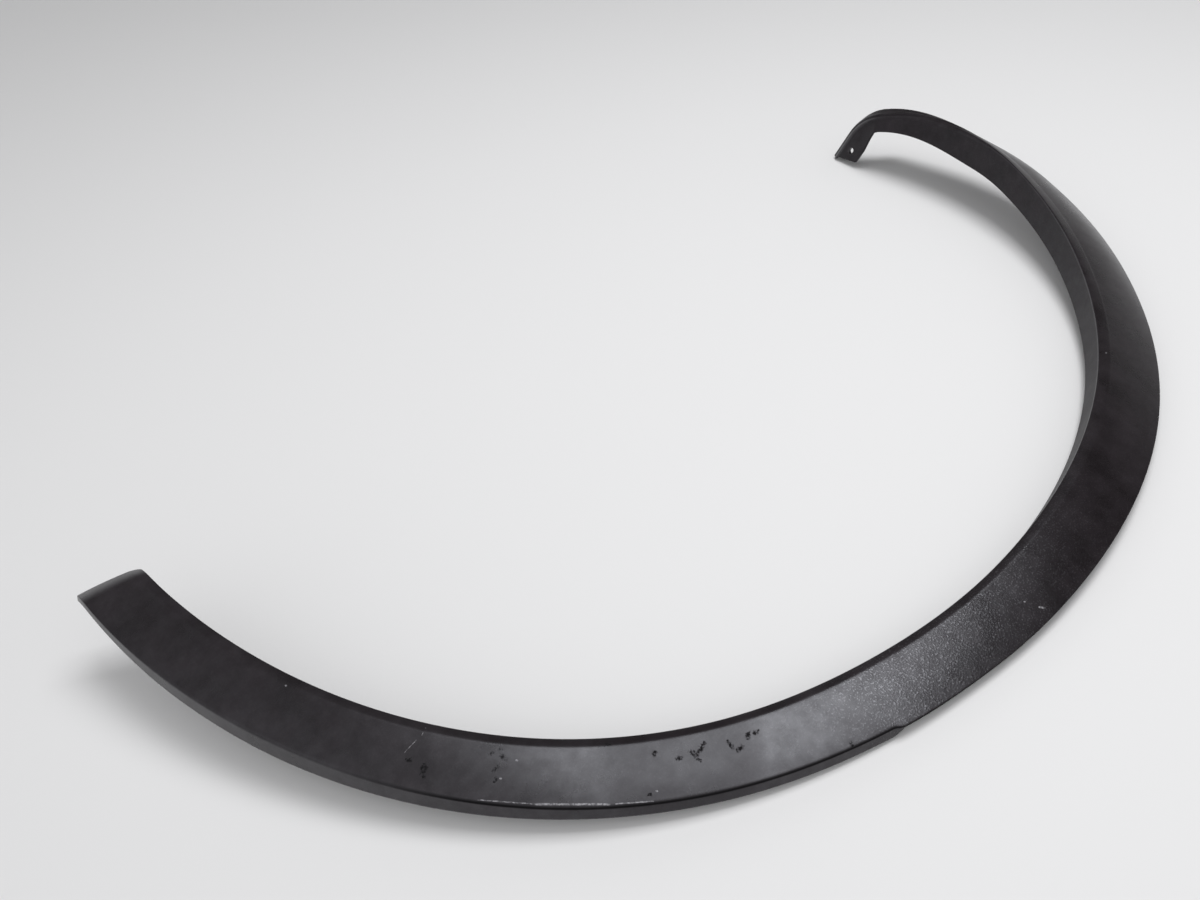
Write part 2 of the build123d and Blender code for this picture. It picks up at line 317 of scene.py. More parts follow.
    def rounded(self, loop, radii, soft):
        """Each corner of the section as an arc of points; the inner edge turns soft near the foot."""
        count = len(loop)
        rounds = []
        for i, p in enumerate(loop):
            da, db = loop[i - 1] - p, loop[(i + 1) % count] - p
            half = da.angle(db) / 2.0
            cut = radii[i] / max(math.tan(half), 0.02)
            cut = max(cut, LEAST_CUT * min(da.length, db.length))
            cut = min(cut, MOST_CUT * da.length, MOST_CUT * db.length)
            if i == self.INNER:
                away = (da.normalized() + db.normalized()).normalized()
                p = p - away * (SOFT_BUILD * soft * cut * math.cos(half))
            s, e = p + da * (cut / da.length), p + db * (cut / db.length)
            n = self.ROUND_POINTS[i]
            arc = []
            for j in range(n):
                t = j / (n - 1)
                arc.append((1.0 - t) ** 2 * s + 2.0 * t * (1.0 - t) * p + t * t * e)
            rounds.append(arc)
        return rounds

    @staticmethod
    def run_shares(n, length):
        """Where the points of a straight run lie along it; a long row has one close to each corner."""
        if n <= 3:
            return [(j + 1) / (n + 1) for j in range(n)]
        near = min(CORNER_GAP / length, CORNER_SHARE)
        return [near + (1.0 - 2.0 * near) * j / (n - 1) for j in range(n)]

    def section(self, ang, width, drop, depth, rise, wall=0.0, over=0.0, walled=0.0):
        """Rounded points of the section, each with its share of the painted edge shade and of the side
        grain.
        """
        loop = self.corners(width, drop, depth, rise, self.bevel_at(ang), wall, over, walled)
        edge, soft, bulge = self.edge, grown(ang, SOFT_END), self.bulge_at(ang)
        roll = ROLL_BULGE + FOOT_BULGE * grown(ang, ROLL_END)
        inner = lerp(1.2 * edge, SOFT_ROUND, soft)
        rounds = self.rounded(loop, (edge, edge, CREASE_ROUND, inner, edge, edge, *BACK_ROUNDS, edge), soft)
        bulges = (0.0, bulge, roll, 0.0, 0.0, 0.0, -roll, -bulge, 0.0, 0.0)
        # the outer edge, and the plain edge where no wall stands, are painted dark: painted shade where the
        # thin edge lies in shadow
        shaded = grown(ang, EDGE_SHADE_RISE)
        edge_shade = (shaded, shaded, 0.6 * shaded, 0.0)
        points = []
        for i, arc in enumerate(rounds):
            bare = 1.0 - walled if i in self.WALL_FEET else 0.0
            shades = edge_shade if i == self.OUTER else [bare] * len(arc)
            points += [(p, shade_share, float(i == self.FLANGE_FOOT)) for p, shade_share in zip(arc, shades)]
            a, b = arc[-1], rounds[(i + 1) % len(rounds)][0]
            run = b - a
            lift = Vector((run.y, -run.x)).normalized() * bulges[i]
            for u in self.run_shares(self.RUN_POINTS[i], run.length):
                points.append((a + run * u + lift * (4.0 * u * (1.0 - u)), bare, float(i == self.INNER)))
        return points

    def arch_station(self, ang, skew=0.0, wall=0.0, walled=0.0, over=0.0, shift=None, fall=None):
        """Section across the arch at an angle, as points in space; shift and fall move them at the tip."""
        aim = math.radians(ang - skew)
        out = Vector((math.cos(aim), math.sin(aim), 0.0))
        course = Vector((-math.sin(math.radians(ang)), math.cos(math.radians(ang)), 0.0))
        reach = self.width_at(ang) / math.cos(math.radians(skew))
        bias = ang - math.degrees(reach * math.sin(math.radians(skew)) / (self.edge_radius(ang) + reach))
        drop = self.drop_at(bias) + self.edge_height(ang) - self.edge_height(bias)
        here = self.edge_point(ang)
        section = self.section(ang, reach, drop, self.depth_at(ang), self.rise_at(ang), wall, over, walled)
        points = []
        for p, *shares in section:
            push = shift(p.x) if shift else 0.0
            sunk = fall(push) if fall else 0.0
            points.append((here + out * p.x + Vector((0.0, 0.0, p.y - sunk)) + course * push, *shares))
        return points

    def wall_at(self, ang):
        """Height of the return wall: most on the near arm, lower toward the step."""
        swell = WALL_SWELL * grown(ang, WALL_RISE) * (1.0 - grown(ang, WALL_FADE))
        return self.wall - WALL_TAPER * self.along(ang) + swell

    def tip_station(self, ang):
        """Section near the tip: slanted, rolled down, with a lower wall and a rounded inner corner."""
        gone = math.radians(ang - TIP_ANGLE) * self.radius
        tangent = TIP_CORNER / math.tan(math.radians(90.0 + TIP_SKEW) / 2.0)
        fade = max(0.0, 1.0 - gone / CORNER_LENGTH)
        lean, rise = math.sin(math.radians(TIP_SKEW)), math.cos(math.radians(TIP_SKEW))

        def corner(x):
            """How far along the arm the rounded corner lies from the straight end."""
            far = 0.0
            for _ in range(6):
                lack = min(max(tangent - max(x, 0.0) + far * lean, 0.0), TIP_CORNER)
                far = (TIP_CORNER - math.sqrt(TIP_CORNER**2 - lack * lack)) / rise
            return fade * far

        def roll(push):
            """How far the end rolls down there."""
            return TIP_ROLL * max(0.0, 1.0 - (gone + push) / TIP_ROLL_LENGTH) ** 2

        return self.arch_station(
            ang,
            skew=TIP_SKEW * (1.0 - ease(gone / SKEW_LENGTH)),
            wall=lerp(TIP_WALL, self.wall_at(ang), ease(gone / TIP_WALL_LENGTH)),
            walled=1.0,
            shift=corner,
            fall=roll,
        )

    @staticmethod
    def over_at(ang):
        """How far the plain edge stands out past the return wall: most at the step."""
        plain = EDGE_OVERHANG * (1.0 - grown(ang, OVER_END))
        return plain + STEP_OVERHANG * (1.0 - grown(ang, OVER_STEP))

    def step_station(self, part):
        """Section where the return wall ends in a rounded corner; part runs from 0 to 1 along it."""
        ang = STEP_ANGLE + math.degrees((STEP_ROUND * part - STEP_LEAD) / self.radius)
        walled = math.sqrt(1.0 - part * part)
        over = self.over_at(ang) * ease(part)
        return self.arch_station(ang, wall=self.wall_at(ang), walled=walled, over=over)

    def far_station(self, ang):
        """Section beyond the step, with a plain edge."""
        return self.arch_station(ang, over=self.over_at(ang))

    def curl_frame(self, angle, run=0.0):
        """Where the foot's section stands: its origin, the way along the foot and the way out of it."""
        s1 = self.slope - angle
        x = CURL_RADIUS * (math.sin(self.slope) - math.sin(s1)) + run * math.cos(s1)
        z = CURL_RADIUS * (math.cos(s1) - math.cos(self.slope)) + run * math.sin(s1)
        tilt = s1 - self.slope * (1.0 - angle / self.turn)
        up = Vector((0.0, 0.0, 1.0))
        heading = self.level * math.cos(tilt) + up * math.sin(tilt)
        origin = self.foot_start + self.level * x + up * z
        return origin, heading, self.foot_out.cross(heading)

    def curl_station(self, angle, part=0.0):
        """Section of the foot; part runs from 0 to 1 along its straight end."""
        k = ease(angle / self.turn)
        first = CURL_RADIUS - (CURL_RADIUS - self.arm_depth) / math.cos(angle)
        second = CURL_RADIUS - (CURL_RADIUS - FOOT_FLANGE) / math.cos(self.turn - angle)
        section = self.section(
            FOOT_ANGLE,
            lerp(self.width_at(FOOT_ANGLE), FOOT_FACE, k),
            lerp(self.drop_at(FOOT_ANGLE), FOOT_DROP, k),
            max(first, second),
            self.rise_at(FOOT_ANGLE) * (1.0 - FOOT_FLATTENING * k),
        )
        points = []
        for p, *shares in section:
            end = FOOT_LENGTH
            if p.x < HOOK_WIDTH and p.y < -HOOK_DEPTH:
                end = FOOT_LENGTH - FOOT_HOOK - FOOT_SLANT * (-p.y - HOOK_DEPTH) / SLANT_DEPTH
            origin, heading, lift = self.curl_frame(angle, end * part)
            points.append((origin + self.foot_out * p.x + lift * p.y, *shares))
        return points

    def stations(self):
        """All sections from tip to foot."""
        tip_end = TIP_ANGLE + math.degrees(1.4 * TIP_ROLL_LENGTH / self.radius)
        wall_end = STEP_ANGLE - math.degrees(STEP_LEAD / self.radius)
        plain = STEP_ANGLE + math.degrees((STEP_ROUND - STEP_LEAD) / self.radius)
        rows = [self.tip_station(lerp(TIP_ANGLE, tip_end, i / TIP_ROWS)) for i in range(TIP_ROWS)]
        rows += [self.tip_station(lerp(tip_end, wall_end, i / NEAR_ROWS)) for i in range(NEAR_ROWS)]
        rows += [self.step_station(part) for part in STEP_PARTS]
        rows += [self.far_station(lerp(plain, FOOT_ANGLE, i / FAR_ROWS)) for i in range(1, FAR_ROWS)]
        rows += [self.curl_station(self.knee * i / KNEE_ROWS) for i in range(KNEE_ROWS)]
        rows += [self.curl_station(lerp(self.knee, self.turn, i / CURL_ROWS)) for i in range(CURL_ROWS)]
        rows += [self.curl_station(self.turn, i / FOOT_ROWS) for i in range(FOOT_ROWS + 1)]
        return rows

    def face_point(self, ang, across):
        """A point on the face or the bevel, by its angle and its distance from the inner edge."""
        a = math.radians(ang)
        out, up = Vector((math.cos(a), math.sin(a), 0.0)), Vector((0.0, 0.0, 1.0))
        width, drop = self.width_at(ang), self.drop_at(ang)
        crease = self.crease(width, drop, self.rise_at(ang), self.bevel_at(ang))
        outer = Vector((width, -drop))
        k = (across - crease.x) / (outer.x - crease.x)
        if k < 0.0:
            p = crease * (across / crease.x)
        else:
            p = lerp(crease, outer, k) + Vector((0.0, self.bulge_at(ang))) * (4.0 * k * (1.0 - k))
        return self.edge_point(ang) + out * p.x + up * p.y

    def seat_frame(self, ang):
        """Root of a clip seat on the back of the face: its point and its axes."""
        middle = (self.bevel + self.width_at(ang)) / 2.0
        here = self.face_point(ang, middle)
        slope = (self.face_point(ang, middle + 3.0) - self.face_point(ang, middle - 3.0)).normalized()
        course = self.face_point(ang + 1.0, middle) - self.face_point(ang - 1.0, middle)
        down = course.cross(slope).normalized()
        return here + down * SEAT_SINK, Matrix((slope, down.cross(slope), down)).transposed()


def placed(point):
    """From the wheel's own axes to the frame, in metres."""
    return (REST_TURN @ point + WHEEL_CENTRE) * MM


def add_node(tree, kind, settings=None, **links):
    """One node with its settings; links name its inputs, or give i and a number, each with a node, a socket
    or a value."""
    node = tree.nodes.new(kind)
    for key, value in (settings or {}).items():
        setattr(node, key, value)
    for key, value in links.items():
        numbered = key[0] == "i" and key[1:].isdigit()
        socket = node.inputs[int(key[1:]) if numbered else key.replace("_", " ")]
        if isinstance(value, bpy.types.Node):
            value = next(out for out in value.outputs if out.enabled)
        if isinstance(value, bpy.types.NodeSocket):
            tree.links.new(value, socket)
        else:
            socket.default_value = value
    return node


# Dark scuffs, pale scratches and a broad rubbed patch on the face: the angle and radius about the wheel
# centre of one end, then of the other end, and half the width
SCUFFS = (
    (52.0, 366.4, 52.0, 367.6, 1.4), (54.6, 368.6, 54.9, 370.2, 1.6), (55.2, 368.8, 55.4, 367.0, 1.5),
    (55.5, 366.6, 55.7, 365.4, 1.3), (53.8, 370.4, 53.5, 370.6, 1.2), (54.9, 372.4, 55.1, 373.0, 1.0),
    (57.4, 367.4, 57.6, 369.4, 1.4), (57.9, 371.8, 58.3, 370.6, 1.4), (58.9, 366.8, 59.0, 364.9, 1.3),
    (59.5, 365.3, 59.8, 364.7, 1.1), (48.5, 360.8, 48.8, 360.8, 1.1), (40.6, 363.3, 40.8, 362.8, 1.2),
    (40.2, 365.3, 40.0, 365.8, 1.0), (40.9, 366.4, 41.2, 368.0, 1.5), (40.8, 371.3, 40.5, 373.0, 1.3),
    (40.7, 376.8, 40.6, 378.0, 1.2), (35.5, 374.9, 35.5, 376.9, 2.2), (35.5, 378.4, 35.6, 379.3, 1.5),
    (34.4, 372.4, 34.2, 373.5, 1.4), (51.2, 385.0, 51.3, 385.3, 0.9), (65.75, 384.2, 65.9, 382.0, 0.9),
)
SCRATCHES = (
    (33.8, 370.3, 34.4, 363.9, 0.24), (34.7, 361.1, 34.8, 357.0, 0.2), (42.0, 368.0, 42.05, 368.1, 0.6),
    (41.0, 376.6, 41.05, 376.7, 0.6), (51.7, 383.8, 51.75, 383.9, 0.6), (85.7, 372.3, 86.0, 374.2, 0.7),
    (85.1, 365.8, 85.15, 365.9, 0.5), (22.8, 355.6, 22.85, 355.7, 0.6), (120.2, 348.3, 120.25, 348.4, 0.7),
    (39.6, 386.5, 43.6, 387.1, 0.3), (43.6, 387.1, 48.5, 387.8, 0.6), (48.9, 387.8, 51.4, 388.0, 0.35),
)
DULLED = ((51.2, 370.0, 56.0, 370.0, 30.0),)


def mark_group():
    """How much of a mark is at a place: one on the line between its ends, none beyond its width."""
    tree = bpy.data.node_groups.new("Mark", "ShaderNodeTree")
    for name, kind in (("Place", "Vector"), ("From", "Vector"), ("To", "Vector"), ("Width", "Float")):
        tree.interface.new_socket(name, in_out="INPUT", socket_type="NodeSocket" + kind)
    tree.interface.new_socket("Amount", in_out="OUTPUT", socket_type="NodeSocketFloat")
    given = tree.nodes.new("NodeGroupInput").outputs
    less, dot = {"operation": "SUBTRACT"}, {"operation": "DOT_PRODUCT"}
    reach = add_node(tree, "ShaderNodeVectorMath", less, i0=given["Place"], i1=given["From"])
    line = add_node(tree, "ShaderNodeVectorMath", less, i0=given["To"], i1=given["From"])
    along = add_node(tree, "ShaderNodeVectorMath", dot, i0=reach, i1=line)
    whole = add_node(tree, "ShaderNodeVectorMath", dot, i0=line, i1=line)
    part = add_node(tree, "ShaderNodeMath", {"operation": "DIVIDE", "use_clamp": True}, i0=along, i1=whole)
    foot = add_node(tree, "ShaderNodeVectorMath", {"operation": "SCALE"}, i0=line, Scale=part)
    gap = add_node(tree, "ShaderNodeVectorMath", {"operation": "DISTANCE"}, i0=reach, i1=foot)
    share = add_node(tree, "ShaderNodeMath", {"operation": "DIVIDE"}, i0=gap, i1=given["Width"])
    end = tree.nodes.new("NodeGroupOutput")
    amount = add_node(
        tree, "ShaderNodeMapRange", {"interpolation_type": "SMOOTHSTEP"},
        Value=share, From_Min=0.45, From_Max=1.0, To_Min=1.0, To_Max=0.0,
    )
    tree.links.new(amount.outputs["Result"], end.inputs["Amount"])
    return tree


# Noise in the plastic: its name, size in mm, detail and roughness
PLASTIC_NOISE = (
    ("grain", 1.3, 2.0, 0.6),
    ("fine", 0.9, 1.0, 0.5),
    ("patch", 22.0, 4.0, 0.6),
    ("cloud", 8.0, 4.0, 0.65),
    ("ragged", 1.6, 3.0, 0.7),
)
# What the noise does: its name, the noise, and the range it is taken from and to
PLASTIC_LEVELS = (
    ("fade", "patch", 0.35, 0.7, 0.0, 1.0),
    ("dull", "patch", 0.3, 0.7, 0.25, 0.33),
    ("shine", "cloud", 0.36, 0.64, 0.39, 0.53),
    ("speck", "fine", 0.56, 0.72, 0.0, 0.55),
    ("scuff_break", "grain", 0.38, 0.56, 0.15, 0.9),
    ("scratch_break", "grain", 0.38, 0.6, 0.15, 0.85),
    ("dull_break", "cloud", 0.35, 0.6, 0.35, 0.9),
)
# Where along X, in metres, the grain turns from rubbed smooth to crisp, and its strength at both places
GRAIN_SPANS = ((0.168, 0.12, 0.12, 1.3), (-0.1, -0.01, 0.25, 1.0))
# Depth of the grain in mm, what dark places (scuffs and the painted edge shade) and the side grain add to
# the roughness, and the share of the shine that is kept in dark places, on the side grain and on the rubbed
# patch
GRAIN_DEPTH, DARK_DULL, SIDE_DULL = 0.05, 0.3, 0.22
DARK_SHINE, SIDE_SHINE, RUBBED_SHINE = 0.12, 0.6, 0.48


def black_plastic(finish, shape):
    """Injection moulded polypropylene, satin black with a fine moulded grain: a dull sheen with a speckled
    edge, weathered in patches, with painted shade along its outer edge, dark scuffs, pale scratches and a
    rubbed patch."""
    mat = bpy.data.materials.new(PLASTIC)
    mat.use_nodes = True
    tree = mat.node_tree
    tree.nodes.clear()
    out = tree.nodes.new("ShaderNodeOutputMaterial")
    shader = add_node(tree, "ShaderNodeBsdfPrincipled", IOR=1.49, Specular_Tint=(*finish.sheen, 1.0))
    tree.links.new(shader.outputs["BSDF"], out.inputs["Surface"])
    place = add_node(tree, "ShaderNodeTexCoord").outputs["Object"]
    clouds = {}
    for name, mm, detail, rough in PLASTIC_NOISE:
        clouds[name] = add_node(
            tree, "ShaderNodeTexNoise", Vector=place, Scale=1.0 / (mm * MM), Detail=detail, Roughness=rough
        )

    levels = {}
    for name, source, low, high, to_low, to_high in PLASTIC_LEVELS:
        levels[name] = add_node(
            tree, "ShaderNodeMapRange",
            Value=clouds[source], From_Min=low, From_Max=high, To_Min=to_low, To_Max=to_high,
        )

    # the marks wander by up to so many millimetres and break up, which makes them ragged
    gain, times = {"operation": "MULTIPLY_ADD"}, {"operation": "MULTIPLY"}
    group = mark_group()
    marks = []
    for rows, wander, breaks in (
        (SCUFFS, 2.0, "scuff_break"), (SCRATCHES, 0.35, "scratch_break"), (DULLED, 6.0, "dull_break")
    ):
        spot = add_node(
            tree, "ShaderNodeVectorMath", gain,
            i0=clouds["ragged"].outputs["Color"], i1=(2.0 * wander * MM,) * 3, i2=(-wander * MM,) * 3,
        )
        spot = add_node(tree, "ShaderNodeVectorMath", {"operation": "ADD"}, i0=place, i1=spot)
        total = 0.0
        for ang0, r0, ang1, r1, width in rows:
            first = placed(shape.face_point(ang0, r0 - shape.edge_radius(ang0)))
            second = placed(shape.face_point(ang1, r1 - shape.edge_radius(ang1)))
            one = add_node(
                tree, "ShaderNodeGroup", {"node_tree": group},
                Place=spot, From=first, To=second, Width=width * MM,
            )
            total = add_node(tree, "ShaderNodeMath", {"operation": "MAXIMUM"}, i0=total, i1=one)
        marks.append(add_node(tree, "ShaderNodeMath", times, i0=total, i1=levels[breaks]))
    scuff, scratch, dulled = marks

    # painted shade along the thin outer edge, given the real scuffs' dark colour below
    line = add_node(tree, "ShaderNodeAttribute", {"attribute_name": "edge_shade"}).outputs["Fac"]
    side = add_node(tree, "ShaderNodeAttribute", {"attribute_name": "side_grain"}).outputs["Fac"]
    dark = add_node(tree, "ShaderNodeMath", {"operation": "MAXIMUM"}, i0=scuff, i1=line)
    blend = {"data_type": "RGBA"}
    tone = add_node(
        tree, "ShaderNodeMix", blend, i0=levels["fade"], i6=(*finish.black, 1.0), i7=(*finish.faded, 1.0)
    )
    tone = add_node(tree, "ShaderNodeMix", blend, i0=dark, i6=tone, i7=(*finish.scuffs_and_edge_shade, 1.0))
    tone = add_node(tree, "ShaderNodeMix", blend, i0=scratch, i6=tone, i7=(*finish.worn, 1.0))
    tree.links.new(tone.outputs[2], shader.inputs["Base Color"])

    dull = add_node(tree, "ShaderNodeMath", gain, i0=dark, i1=DARK_DULL, i2=levels["dull"])
    dull = add_node(tree, "ShaderNodeMath", gain, i0=side, i1=SIDE_DULL, i2=dull)
    tree.links.new(dull.outputs[0], shader.inputs["Roughness"])
    # the grain is rubbed smooth along both arms and crisp between them
    axes = add_node(tree, "ShaderNodeSeparateXYZ", Vector=place)
    crisp = 1.0
    for start, stop, weak, strong in GRAIN_SPANS:
        strength = add_node(
            tree, "ShaderNodeMapRange",
            Value=axes.outputs["X"], From_Min=start, From_Max=stop, To_Min=weak, To_Max=strong,
        )
        crisp = add_node(tree, "ShaderNodeMath", times, i0=crisp, i1=strength)
    shine = add_node(tree, "ShaderNodeMath", gain, i0=levels["speck"], i1=crisp, i2=levels["shine"])
    for share, kept in ((dark, DARK_SHINE), (side, SIDE_SHINE), (dulled, RUBBED_SHINE)):
        keep = add_node(tree, "ShaderNodeMapRange", Value=share, To_Min=1.0, To_Max=kept)
        shine = add_node(tree, "ShaderNodeMath", times, i0=shine, i1=keep)
    tree.links.new(shine.outputs[0], shader.inputs["Specular IOR Level"])
    depth = GRAIN_DEPTH * MM
    bump = add_node(tree, "ShaderNodeBump", Strength=crisp, Distance=depth, Height=clouds["fine"])
    tree.links.new(bump.outputs["Normal"], shader.inputs["Normal"])
    return mat


def plastic(context):
    """The plastic's material, made once."""
    scene = context.scene
    return bpy.data.materials.get(PLASTIC) or black_plastic(scene.trim_finish, ArchShape(scene.trim_sizes))


def finished(obj):
    """Sets a piece against the frame: it stands for the CAD moulding and rides on it."""
    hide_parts(NODE)
    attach(obj, BODY)


def baked(obj, name):
    """The evaluated object as a plain mesh."""
    graph = bpy.context.evaluated_depsgraph_get()
    mesh = bpy.data.meshes.new_from_object(obj.evaluated_get(graph), depsgraph=graph)
    mesh.name = name
    return mesh


def zipped(bm, first, second):
    """Closes an end between the outer and the back points of a section; the two lines share their ends."""
    bm.faces.new((first[0], first[1], second[1]))
    i = j = 1
    while i < len(first) - 2 or j < len(second) - 2:
        step_i = (first[i + 1].co - second[j].co).length if i < len(first) - 2 else math.inf
        step_j = (first[i].co - second[j + 1].co).length if j < len(second) - 2 else math.inf
        if step_i < step_j:
            bm.faces.new((first[i], first[i + 1], second[j]))
            i += 1
        else:
            bm.faces.new((first[i], second[j + 1], second[j]))
            j += 1
    bm.faces.new((first[i], first[-1], second[j]))


def slot_cutter(shape):
    """Long hole through the flange of the foot."""
    bm = bmesh.new()
    origin, heading, lift = shape.curl_frame(shape.turn, SLOT_ALONG)
    centre = origin - lift * SLOT_ACROSS
    r, half = SLOT_WIDTH / 2.0, (SLOT_LENGTH - SLOT_WIDTH) / 2.0
    rings = []
    for reach in SLOT_REACH:
        ring = []
        for i in range(ROUND_SIDES):
            a = 2.0 * math.pi * i / ROUND_SIDES
            end = half if math.cos(a + 1e-6) > 0.0 else -half
            p = centre + heading * (r * math.cos(a) + end) + lift * (r * math.sin(a))
            ring.append(bm.verts.new(placed(p + shape.foot_out * reach)))
        rings.append(ring)
    for i in range(ROUND_SIDES):
        k = (i + 1) % ROUND_SIDES
        bm.faces.new((rings[0][i], rings[0][k], rings[1][k], rings[1][i]))
    bm.faces.new(rings[0][::-1])
    bm.faces.new(rings[1])
    bmesh.ops.recalc_face_normals(bm, faces=bm.faces)
    mesh = bpy.data.meshes.new("slot_cutter")
    bm.to_mesh(mesh)
    bm.free()
    cutter = bpy.data.objects.new("slot_cutter", mesh)
    bpy.context.collection.objects.link(cutter)
    return cutter


class ARCHTRIM_OT_moulding(bpy.types.Operator):
    """Builds the moulding from tip to foot"""
    bl_idname = "archtrim.moulding"
    bl_label = "Moulding"

    def execute(self, context):
        shape = ArchShape(context.scene.trim_sizes)
        rows = shape.stations()
        bm = bmesh.new()
        # each point's share of painted shade along the thin outer edge
        dark = bm.verts.layers.float.new("edge_shade")
        grain = bm.verts.layers.float.new("side_grain")
        grid = []
        for row in rows:
            line = []
            for point, edge, side in row:
                v = bm.verts.new(placed(point))
                v[dark], v[grain] = edge, side
                line.append(v)
            grid.append(line)
        count = len(grid[0])
        for a, b in zip(grid, grid[1:]):
            for j in range(count):
                k = (j + 1) % count
                bm.faces.new((a[j], a[k], b[k], b[j]))
        # both ends are closed between the front of the section, wall foot to flange foot, and its back
        front = sum(ArchShape.ROUND_POINTS[:5]) + sum(ArchShape.RUN_POINTS[:4]) - 1
        half = ArchShape.ROUND_POINTS[0] // 2
        for line in (grid[0], grid[-1]):
            zipped(bm, line[half:front], (line[front - 1:] + line[:half + 1])[::-1])
        bmesh.ops.recalc_face_normals(bm, faces=bm.faces)
        mesh = bpy.data.meshes.new("arch_moulding")
        bm.to_mesh(mesh)
        bm.free()
        moulding = bpy.data.objects.new("arch_moulding", mesh)
        context.collection.objects.link(moulding)
        cutter = slot_cutter(shape)
        cut = moulding.modifiers.new("Foot slot", "BOOLEAN")
        cut.operation = "DIFFERENCE"
        cut.solver = "EXACT"
        cut.object = cutter
        whole = baked(moulding, "arch_moulding_cut")
        moulding.modifiers.clear()
        moulding.data = whole
        bpy.data.meshes.remove(mesh)
        bpy.data.objects.remove(cutter)
        whole.materials.clear()
        whole.materials.append(plastic(context))
        for face in whole.polygons:
            face.use_smooth = True
        whole.set_sharp_from_angle(angle=SMOOTH_ANGLE)
        if len(whole.polygons) < count * 100:
            raise RuntimeError("the moulding lost its faces")
        finished(moulding)
        return {"FINISHED"}


def seat_row_tree():
    """A clip seat made from its sizes and set on each point, turned as the point says."""
    tree = bpy.data.node_groups.new("Clip seat row", "GeometryNodeTree")
    face = tree.interface
    face.new_socket("Geometry", in_out="INPUT", socket_type="NodeSocketGeometry")
    for name in ("Length", "Width", "Top", "Plate", "Channel", "Slot"):
        face.new_socket(name, in_out="INPUT", socket_type="NodeSocketFloat")
    face.new_socket("Material", in_out="INPUT", socket_type="NodeSocketMaterial")
    face.new_socket("Geometry", in_out="OUTPUT", socket_type="NodeSocketGeometry")
    given = tree.nodes.new("NodeGroupInput").outputs
    top, plate, slot = given["Top"], given["Plate"], given["Slot"]
    add, less, part = ({"operation": name} for name in ("ADD", "SUBTRACT", "MULTIPLY_ADD"))
    inside = add_node(tree, "ShaderNodeMath", part, i0=plate, i1=-2.0, i2=given["Width"])
    under = add_node(tree, "ShaderNodeMath", less, i0=top, i1=plate)
    low = add_node(tree, "ShaderNodeMath", less, i0=under, i1=given["Channel"])
    long = add_node(tree, "ShaderNodeMath", add, i0=given["Length"], i1=SEAT_CLEARANCE * MM)
    through = add_node(tree, "ShaderNodeMath", add, i0=plate, i1=SEAT_CLEARANCE * MM)
    start = add_node(tree, "ShaderNodeMath", less, i0=under, i1=0.5 * SEAT_CLEARANCE * MM)
    half = add_node(tree, "ShaderNodeMath", part, i0=given["Length"], i1=0.5, i2=0.0)
    # body, channel for the clip head and mouth for its neck: width, length, height, foot and offset along
    blocks = []
    for x, y, z, foot, offset in (
        (given["Width"], given["Length"], top, 0.0, 0.0),
        (inside, long, given["Channel"], low, 0.0),
        (slot, given["Length"], through, start, half),
    ):
        extent = add_node(tree, "ShaderNodeCombineXYZ", X=x, Y=y, Z=z)
        cube = add_node(tree, "GeometryNodeMeshCube", Size=extent)
        middle = add_node(tree, "ShaderNodeMath", part, i0=z, i1=0.5, i2=foot)
        lift = add_node(tree, "ShaderNodeCombineXYZ", X=0.0, Y=offset, Z=middle)
        blocks.append(add_node(tree, "GeometryNodeTransform", Geometry=cube, Translation=lift))
    body, channel, mouth = blocks
    bore = add_node(tree, "ShaderNodeMath", part, i0=slot, i1=0.5, i2=0.0)
    neck = add_node(
        tree, "GeometryNodeMeshCylinder", {"fill_type": "NGON"},
        Vertices=ROUND_SIDES, Radius=bore, Depth=through,
    )
    middle = add_node(tree, "ShaderNodeMath", part, i0=through, i1=0.5, i2=start)
    lift = add_node(tree, "ShaderNodeCombineXYZ", X=0.0, Y=0.0, Z=middle)
    neck = add_node(tree, "GeometryNodeTransform", Geometry=neck, Translation=lift)
    seat = body
    exact = {"operation": "DIFFERENCE", "solver": "EXACT"}
    for tool in (channel, neck, mouth):
        cut = add_node(tree, "GeometryNodeMeshBoolean", exact, i0=seat)
        tree.links.new(tool.outputs["Geometry"], cut.inputs["Mesh 2"])
        seat = cut
    points = add_node(tree, "GeometryNodeMeshToPoints", Mesh=given["Geometry"])
    turn = add_node(tree, "GeometryNodeInputNamedAttribute", {"data_type": "FLOAT_VECTOR"}, Name="turn")
    rotation = add_node(tree, "FunctionNodeEulerToRotation", Euler=turn.outputs["Attribute"])
    spread = add_node(
        tree, "GeometryNodeInstanceOnPoints",
        Points=points.outputs[0], Instance=seat, Rotation=rotation.outputs[0],
    )
    real = add_node(tree, "GeometryNodeRealizeInstances", Geometry=spread.outputs[0])
    dressed = add_node(tree, "GeometryNodeSetMaterial", Geometry=real, Material=given["Material"])
    end = tree.nodes.new("NodeGroupOutput")
    tree.links.new(dressed.outputs[0], end.inputs[0])
    return tree


